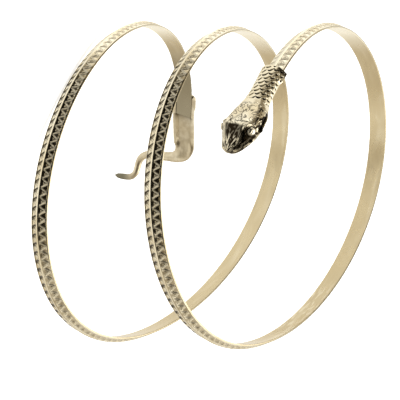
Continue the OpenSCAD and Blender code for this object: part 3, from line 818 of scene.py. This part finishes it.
def tail_rings():
    """Sections of the tail casting, with their UV and the tones of their points."""
    runs, frames, hold = tail_frames()
    run = finer(runs, TAIL_FINE)
    frames = between(frames, runs, run)
    share = run / TAIL_LEN
    half_w = TAIL_W / 2 * smooth_at(TAIL, 1, share)
    thick = TAIL_T * smooth_at(TAIL, 2, share)
    rounding = np.clip((share - HOLLOW_END) / (ROUND_START - HOLLOW_END), 0, 1)
    rise = rounding * thick / 2 + (1 - rounding) * thick
    v, h = top_ring(half_w, rise, np.full(len(run), TAIL_EDGE), TAIL_POINTS)[:2]
    run, share, half_w, thick, rounding = (
        x[:, None] for x in (run, share, half_w, thick, rounding))

    base = rounding * TAIL_T / 2
    lip = np.sign(v) * mouth_lip_at(share * TAIL_LIP, h)
    channel_v, channel_h = channel_path()
    b = under_angles()
    solid = run > hold + WALL_STEP / 2
    flat_v = np.where(solid, HOLLOW_HALF * half_w * HOLLOW_SIDE, channel_v)
    flat_h = np.where(solid, HOLLOW_H * HOLLOW_RISE, channel_h)
    round_v = half_w * np.cos(b)
    round_h = base - rounding * thick / 2 * np.sin(b)
    under_v = flat_v + rounding * (round_v - flat_v)
    under_h = flat_h + rounding * (round_h - flat_h)
    rings = on_frames(frames, np.concatenate([v + lip, under_v], 1),
                      np.concatenate([base + h, under_h], 1))
    # A painted shadow in the corner where the strip ends inside the channel
    corner = np.where(solid, np.exp(-(run - hold - WALL_STEP) / CORNER_REACH), 0)
    return rings, share, np.linspace(0, 1, rings.shape[1])[None], {
        "recess": np.concatenate([0 * v, corner + 0 * under_v], 1),
        "back": np.concatenate([0 * v, 1 - rounding + 0 * under_v], 1),
    }


class Nodes:
    """Short names for building the nodes of one material, or of the world."""

    def __init__(self, owner):
        owner.use_nodes = True
        self.owner = owner
        self.tree = owner.node_tree
        self.shader = self.tree.nodes.get("Principled BSDF")

    def node(self, kind, **settings):
        made = self.tree.nodes.new("ShaderNode" + kind)
        for key, value in settings.items():
            setattr(made, key, value)
        return made

    def put(self, value, socket):
        """Links a socket's value, or sets a constant."""
        if isinstance(value, bpy.types.NodeSocket):
            self.tree.links.new(value, socket)
        else:
            socket.default_value = value

    def math(self, operation, a, b=0.0, clamp=False):
        made = self.node("Math", operation=operation, use_clamp=clamp)
        self.put(a, made.inputs[0])
        self.put(b, made.inputs[1])
        return made.outputs[0]

    def times(self, a, b):
        return self.math("MULTIPLY", a, b)

    def plus(self, a, b):
        return self.math("ADD", a, b)

    def vector(self, operation, a, b=(0, 0, 0)):
        made = self.node("VectorMath", operation=operation)
        self.put(a, made.inputs[0])
        self.put(b, made.inputs[1])
        return made.outputs["Value" if operation == "DOT_PRODUCT" else "Vector"]

    def split(self, value):
        made = self.node("SeparateXYZ")
        self.put(value, made.inputs[0])
        return made.outputs

    def ramp(self, value, low, high, to_low=0.0, to_high=1.0):
        """to_low where the value is low, to_high where it is high, and smooth between them."""
        made = self.node("MapRange", interpolation_type="SMOOTHSTEP")
        for key, given in (("Value", value), ("From Min", low), ("From Max", high),
                           ("To Min", to_low), ("To Max", to_high)):
            self.put(given, made.inputs[key])
        return made.outputs["Result"]

    def mix(self, factor, a, b):
        made = self.node("Mix", data_type="RGBA", clamp_factor=True)
        self.put(factor, made.inputs["Factor"])
        self.put(a, made.inputs[6])
        self.put(b, made.inputs[7])
        return made.outputs[2]

    def noise(self, place, scale, detail, rough=0.55, distortion=0.0):
        made = self.node("TexNoise")
        for key, given in (("Vector", place), ("Scale", scale), ("Detail", detail),
                           ("Roughness", rough), ("Distortion", distortion)):
            self.put(given, made.inputs[key])
        return made.outputs["Fac"]

    def drawn_noise(self, scales, distortion):
        """Noise on the UV map, with a scale of its own along U and along V."""
        place = self.vector("MULTIPLY", self.uv(), scales)
        return self.noise(place, scale=1, detail=2, rough=0.5, distortion=distortion)

    def attribute(self, title):
        """One of the tones that loft gave the points."""
        made = self.node("Attribute", attribute_name=title, attribute_type="GEOMETRY")
        return made.outputs["Fac"]

    def place(self):
        return self.node("TexCoord").outputs["Object"]

    def uv(self):
        return self.node("UVMap").outputs["UV"]

    def bump(self, height, distance, strength, after=None):
        made = self.node("Bump")
        made.inputs["Distance"].default_value = distance
        made.inputs["Strength"].default_value = strength
        self.put(height, made.inputs["Height"])
        if after is not None:
            self.put(after, made.inputs["Normal"])
        return made.outputs["Normal"]


# Colours of the finish, as linear reflectances
# For the painted highlight on the strip's raised lines
BRIGHT_GOLD = (1.0, 0.93, 0.74, 1)
PALE_GOLD = (0.90, 0.82, 0.62, 1)
WARM_GOLD = (0.80, 0.69, 0.46, 1)
BACK_GOLD = (0.66, 0.55, 0.34, 1)
TAIL_GOLD = (0.52, 0.43, 0.28, 1)
TAIL_TIP = (0.20, 0.18, 0.12, 1)
TARNISH = (0.16, 0.11, 0.05, 1)
# Dark oxide, which also gives the painted shade on the strip's slopes and the painted shadow in
# the tail's corner
OXIDE_AND_SHADE = (0.05, 0.036, 0.016, 1)
# Near black, for the dark face that is partly painted shade, and for the pits and the painted
# shade in the neck's mouth
DEEP = (0.018, 0.012, 0.006, 1)

# Noises in space: scale per metre, detail, and some with roughness and distortion
CLOUDS = (160, 4)
SCRATCHES = (2600, 2)
SWIRLS = (460, 0, 0.4, 2.0)
BLOTCHES = (340, 3, 0.6)
# Noises on the UV map: scales along U and V, and distortion. U counts teeth on the strip and is
# the share of the length on a casting. V is in millimetres from the ridge on the strip, and the
# share of the way round on a casting.
SCUFFS = ((0.16, 0.3, 1), 0.8)
STREAKS = ((0.7, 1.6, 1), 0.8)
FACE_STREAKS = ((13, 17, 1), 1.2)
# Bumps: depth in metres, and strength
SCRATCH_BUMP = (0.00001, 0.5)
HATCH_BUMP = (0.00007, 0.9)
DENT_BUMP = (0.00012, 0.6)
FACE_BUMP = (0.0004, 0.6)
CARVED_BUMP = (0.00025, 0.9)
BLOTCH_BUMP = (0.0002, 0.6)

# Ramps of the finishes: from and to which value they run, and what they give at those if that
# isn't 0 and 1. First the share of the warmer gold in the clouds, and their roughness.
CLOUD_WARM = (0.35, 0.7)
CLOUD_ROUGH = (0.3, 0.7, 0.15, 0.22)
# The hatching in the strip's inner triangles, in millimetres from the ridge, and its pitch
HATCH_FROM = (0.6, 0.9)
HATCH_PITCH = 0.86
# The strip's inside: pale and dull scuffs, and pale streaks
PALE_SCUFFS = (0.5, 0.75, 0, 0.3)
DULL_SCUFFS = (0.42, 0.2, 0, 0.8)
PALE_STREAKS = (0.5, 0.62)
# The same in teeth from the tail: where it is streaked, and duller and darker towards the tail
STREAKED_FROM = (199, 203)
STREAKED_TO = (208, 213, 0.6, 0)
TAIL_END_DULL = (4, 16, 0.9, 0)
TAIL_END_DARK = (5, 13, 0.65, 0)
# The face's bright streaks, and the crown's carved lines to each side of the swirls' middle
BRIGHT_STREAKS = (0.49, 0.54)
SWIRL_MIDDLE = 0.52
SWIRL_LINES = (0.01, 0.08, 1, 0)
# The tail's blotches, and its tip in shares of its length
TAIL_BLOTCHES = (0.4, 0.62, 0.8, 0.35)
TIP_FROM = (0.84, 0.94)

# How strong the other tones are
RECESS_TARNISH = 0.12
CARVED_DARK = 0.85
TAIL_BACK_TARNISH = 0.3
# Depth of the streaks' dents beside the streaked part, against its own
STREAK_DENTS = 0.15
# Roughness that the strip's inside, its raised lines with their painted highlight and the tail
# have on top
BACK_ROUGH = 0.1
CREST_ROUGH = 0.6
TAIL_ROUGH = 0.14


def metal(title, build):
    """A gold finish with soft clouds of colour and fine scratches. build adds what is its own."""
    n = Nodes(bpy.data.materials.new(title))
    place = n.place()
    clouds = n.noise(place, *CLOUDS)
    colour = n.mix(n.ramp(clouds, *CLOUD_WARM), PALE_GOLD, WARM_GOLD)
    rough = n.ramp(clouds, *CLOUD_ROUGH)
    scratches = n.bump(n.noise(place, *SCRATCHES), *SCRATCH_BUMP)
    colour, rough, normal = build(n, colour, rough, scratches)
    n.put(colour, n.shader.inputs["Base Color"])
    n.put(rough, n.shader.inputs["Roughness"])
    n.put(normal, n.shader.inputs["Normal"])
    n.shader.inputs["Metallic"].default_value = 1.0
    return n.owner


def strip_finish(n, colour, rough, normal):
    """Oxide and painted shade, hatching and a painted highlight on the strip's slopes, and the
    scuffs, tones and painted highlight of its inside.
    """
    uv = n.split(n.uv())
    recess, back, crest = n.attribute("recess"), n.attribute("back"), n.attribute("crest")
    # The hatching runs along the zigzag's arms, in the inner triangles alone
    across = n.math("ABSOLUTE", uv["Y"])
    along = n.plus(across, n.times(n.math("PINGPONG", uv["X"], 0.5), 2 * ZIGZAG_W))
    hatch = n.math("SINE", n.times(along, 2 * math.pi / HATCH_PITCH))
    inner = n.math("SUBTRACT", recess, n.attribute("outer"), clamp=True)
    hatch = n.times(hatch, n.times(inner, n.ramp(across, *HATCH_FROM)))
    normal = n.bump(hatch, *HATCH_BUMP, normal)
    colour = n.mix(n.times(recess, RECESS_TARNISH), colour, TARNISH)
    # Oxide, and painted shade on the slopes
    colour = n.mix(n.attribute("oxide_and_shade"), colour, OXIDE_AND_SHADE)
    # A painted highlight on the raised lines
    colour = n.mix(crest, colour, BRIGHT_GOLD)
    # The inside
    scuffs = n.drawn_noise(*SCUFFS)
    streaks = n.drawn_noise(*STREAKS)
    streaked = n.times(n.ramp(uv["X"], *STREAKED_FROM), n.ramp(uv["X"], *STREAKED_TO))
    inside_tone_and_highlight = n.mix(n.ramp(scuffs, *PALE_SCUFFS), BACK_GOLD, PALE_GOLD)
    inside_tone_and_highlight = n.mix(n.ramp(scuffs, *DULL_SCUFFS), inside_tone_and_highlight, TAIL_GOLD)
    inside_tone_and_highlight = n.mix(n.times(streaked, n.ramp(streaks, *PALE_STREAKS)), inside_tone_and_highlight, PALE_GOLD)
    # A painted highlight on the inside at the loops' tops
    inside_tone_and_highlight = n.mix(n.attribute("pale"), inside_tone_and_highlight, PALE_GOLD)
    inside_tone_and_highlight = n.mix(n.ramp(uv["X"], *TAIL_END_DULL), inside_tone_and_highlight, TAIL_GOLD)
    inside_tone_and_highlight = n.mix(n.ramp(uv["X"], *TAIL_END_DARK), inside_tone_and_highlight, TAIL_TIP)
    colour = n.mix(back, colour, inside_tone_and_highlight)
    rough = n.plus(rough, n.times(back, BACK_ROUGH))
    rough = n.plus(rough, n.times(crest, CREST_ROUGH))
    dents = n.plus(scuffs, n.times(streaks, n.plus(streaked, STREAK_DENTS)))
    return colour, rough, n.bump(n.times(dents, back), *DENT_BUMP, normal)


def head_finish(n, colour, rough, normal):
    """A dark face, partly painted shade, with bright streaks and raised lines, a carved crown,
    dark pits, painted shade in the neck's mouth and an eye.
    """
    face = n.attribute("face")
    streaks = n.drawn_noise(*FACE_STREAKS)
    bright = n.times(n.ramp(streaks, *BRIGHT_STREAKS), n.attribute("streaky"))
    bright = n.math("MAXIMUM", n.attribute("raised"), bright)
    dark = n.times(n.math("SUBTRACT", 1.0, bright, clamp=True), face)
    swirls = n.noise(n.place(), *SWIRLS)
    off_middle = n.math("ABSOLUTE", n.math("SUBTRACT", swirls, SWIRL_MIDDLE))
    carved = n.times(n.ramp(off_middle, *SWIRL_LINES), n.attribute("carved"))
    colour = n.mix(n.times(face, FACE_WARMTH), colour, BACK_GOLD)
    # The dark face: partly dark patina, partly painted shade
    colour = n.mix(dark, colour, DEEP)
    colour = n.mix(n.times(carved, CARVED_DARK), colour, OXIDE_AND_SHADE)
    # Dark pits and sunk lines, and the painted shade in the neck's mouth
    colour = n.mix(n.attribute("recess"), colour, DEEP)
    colour = n.mix(n.attribute("eye"), colour, PALE_GOLD)
    normal = n.bump(n.times(streaks, face), *FACE_BUMP, normal)
    return colour, rough, n.bump(n.math("SUBTRACT", 1.0, carved), *CARVED_BUMP, normal)


def tail_finish(n, colour, rough, normal):
    """Dull blotches, a dark tip, a tarnished hollow back and a painted shadow in the corner by the
    strip's end.
    """
    blotches = n.noise(n.place(), *BLOTCHES)
    colour = n.mix(n.ramp(blotches, *TAIL_BLOTCHES), colour, TAIL_GOLD)
    colour = n.mix(n.ramp(n.split(n.uv())["X"], *TIP_FROM), colour, TAIL_TIP)
    colour = n.mix(n.times(n.attribute("back"), TAIL_BACK_TARNISH), colour, TARNISH)
    # Painted shadow in the corner by the strip's end
    colour = n.mix(n.attribute("recess"), colour, OXIDE_AND_SHADE)
    return colour, n.plus(rough, TAIL_ROUGH), n.bump(blotches, *BLOTCH_BUMP, normal)


def add_piece(name, node, slot, made, laying, finish):
    """A skin that stands for one of the part's nodes."""
    obj = loft(name, laying, *made)
    obj.data.materials.append(metal(slot + "_finish", finish))
    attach(obj, "root")
    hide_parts(node)


# The camera in the coil's own axes, in millimetres. It stands a little above the floor and is
# turned on its side, as the photograph shows the cuff.
CAMERA_AT = (31.3892, -425.3255, 249.9213)
CAMERA_RIGHT = (-0.056022, 0.502741, 0.86262)
CAMERA_UP = (-0.996408, -0.083101, -0.016279)
LENS = 168.59
SENSOR = 36
SHIFT = (-0.0343592, -0.0331183)
NEAREST, FURTHEST = 0.01, 50


def add_camera(laying):
    data = bpy.data.cameras.new("camera")
    data.sensor_width = SENSOR
    data.lens = LENS
    data.shift_x, data.shift_y = SHIFT
    data.clip_start, data.clip_end = NEAREST, FURTHEST
    camera = bpy.data.objects.new("camera", data)
    ways = (laying.turn @ np.array(way) for way in (CAMERA_RIGHT, CAMERA_UP))
    right, up = (Vector(way).normalized() for way in ways)
    turn = Matrix((right, up, right.cross(up))).transposed().to_4x4()
    camera.matrix_world = Matrix.Translation(laying.lay(np.array(CAMERA_AT))[0]) @ turn
    bpy.context.scene.collection.objects.link(camera)
    bpy.context.scene.camera = camera


# The floor is a pale plane that also glows a little, as a light table does
FLOOR_HALF = 6.0
FLOOR_COLOUR = (0.9, 0.9, 0.89, 1)
FLOOR_GLOW = 0.75
FLOOR_ROUGH = 0.9


def add_floor():
    mesh = bpy.data.meshes.new("floor")
    s = FLOOR_HALF
    mesh.from_pydata([(-s, -s, 0), (s, -s, 0), (s, s, 0), (-s, s, 0)], [], [(0, 1, 2, 3)])
    floor = bpy.data.objects.new("floor", mesh)
    bpy.context.scene.collection.objects.link(floor)
    n = Nodes(bpy.data.materials.new("floor"))
    n.shader.inputs["Emission Color"].default_value = FLOOR_COLOUR
    n.shader.inputs["Emission Strength"].default_value = FLOOR_GLOW
    n.shader.inputs["Base Color"].default_value = FLOOR_COLOUR
    n.shader.inputs["Roughness"].default_value = FLOOR_ROUGH
    mesh.materials.append(n.owner)
    floor.visible_glossy = False


# The studio, as a sky all round: plain and bright, with patches that take light away or add it.
# A patch has its middle in degrees to the right of the front, how far to each side it is full and
# where it ends, its lowest and highest direction and its soft edge as sines, and its light.
STUDIO_LIGHT = 1.1
ALL_ROUND = 180
# [middle, full to, ends at, lowest, highest, soft edge, light]
PATCHES = [
    (-8, 40, 78, -0.42, 0.62, 0.20, 0.01),
    (60, 22, 60, 0.1, 0.62, 0.15, 0.5),
    (-72, 20, 48, 0.2, 0.8, 0.15, 0.25),
    (122, 25, 42, -0.75, 0.4, 0.2, 0.75),
    (-110, 22, 44, -0.36, -0.14, 0.12, 1.4),
    (0, ALL_ROUND, ALL_ROUND, 0.92, 1.0, 0.1, 2.4),
]
# Colours of full light and of none, between which a patch's light mixes
PLAIN_LIGHT = (1, 0.99, 0.97, 1)
DIM_LIGHT = (1, 0.82, 0.55, 1)


def add_studio():
    n = Nodes(bpy.data.worlds.new("studio"))
    direction = n.node("TexCoord").outputs["Generated"]
    height = n.split(direction)["Z"]
    level = n.vector("NORMALIZE", n.vector("MULTIPLY", direction, (1, 1, 0)))
    light = 1.0
    for middle, full, end, low, high, edge, patch_light in PATCHES:
        middle, full, end = (math.radians(x) for x in (middle, full, end))
        patch = n.times(n.ramp(height, low - edge, low), n.ramp(height, high, high + edge, 1, 0))
        if end < math.pi:
            facing = n.vector("DOT_PRODUCT", level, (math.sin(middle), -math.cos(middle), 0))
            patch = n.times(patch, n.ramp(facing, math.cos(end), math.cos(full)))
        light = n.times(light, n.ramp(patch, 0, 1, 1, patch_light))
    background = n.tree.nodes["Background"]
    n.put(n.mix(light, DIM_LIGHT, PLAIN_LIGHT), background.inputs["Color"])
    n.put(n.times(light, STUDIO_LIGHT), background.inputs["Strength"])
    bpy.context.scene.world = n.owner


for old in list(bpy.data.objects):
    bpy.data.objects.remove(old)
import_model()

laying = Laying()
strip = strip_rings()
laying.onto(strip[0], "band")
add_piece("strip_skin", "band", "strip", strip, laying, strip_finish)
add_piece("head_skin", "head", "cast_head", head_rings(), laying, head_finish)
add_piece("tail_skin", "tail", "cast_tail", tail_rings(), laying, tail_finish)

add_camera(laying)
add_floor()
add_studio()
bpy.context.scene.view_settings.view_transform = "Standard"
